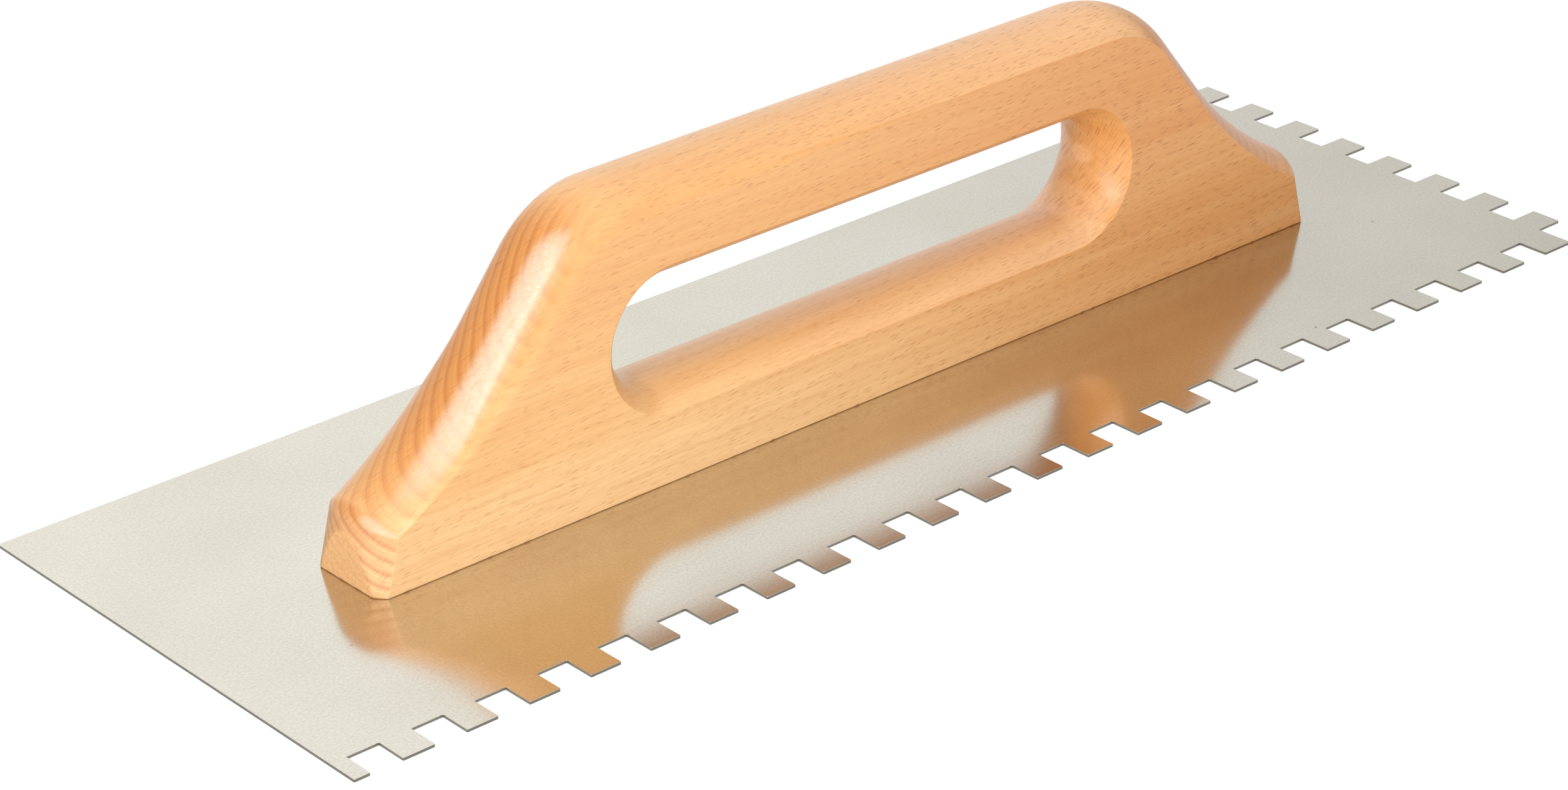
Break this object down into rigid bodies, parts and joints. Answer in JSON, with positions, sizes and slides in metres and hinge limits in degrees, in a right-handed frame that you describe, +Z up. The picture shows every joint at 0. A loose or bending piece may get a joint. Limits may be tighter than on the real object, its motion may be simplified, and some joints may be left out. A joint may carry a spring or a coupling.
{
  "type": "notched trowel",
  "caption": "Flat steel trowel with square notches on one long and one short edge, and a closed wooden handle fixed along its middle.",
  "frame": {"origin": "centre of the blade's underside, the working face", "axes": "+X along the blade towards its notched short edge, +Y across it towards the plain long edge, +Z up towards the handle"},
  "size_m": [0.3816, 0.13, 0.0738],
  "materials": {
    "steel_sheet": "satin rolled stainless",
    "beech": "clear lacquered beech, half gloss",
    "screw_steel": "zinc plated"
  },
  "bodies": {
    "root": {"blade": "steel_sheet", "handle": "beech", "screw_1": "screw_steel", "screw_2": "screw_steel", "screw_3": "screw_steel", "screw_4": "screw_steel", "screw_5": "screw_steel", "screw_6": "screw_steel", "screw_7": "screw_steel"}
  },
  "joints": []
}
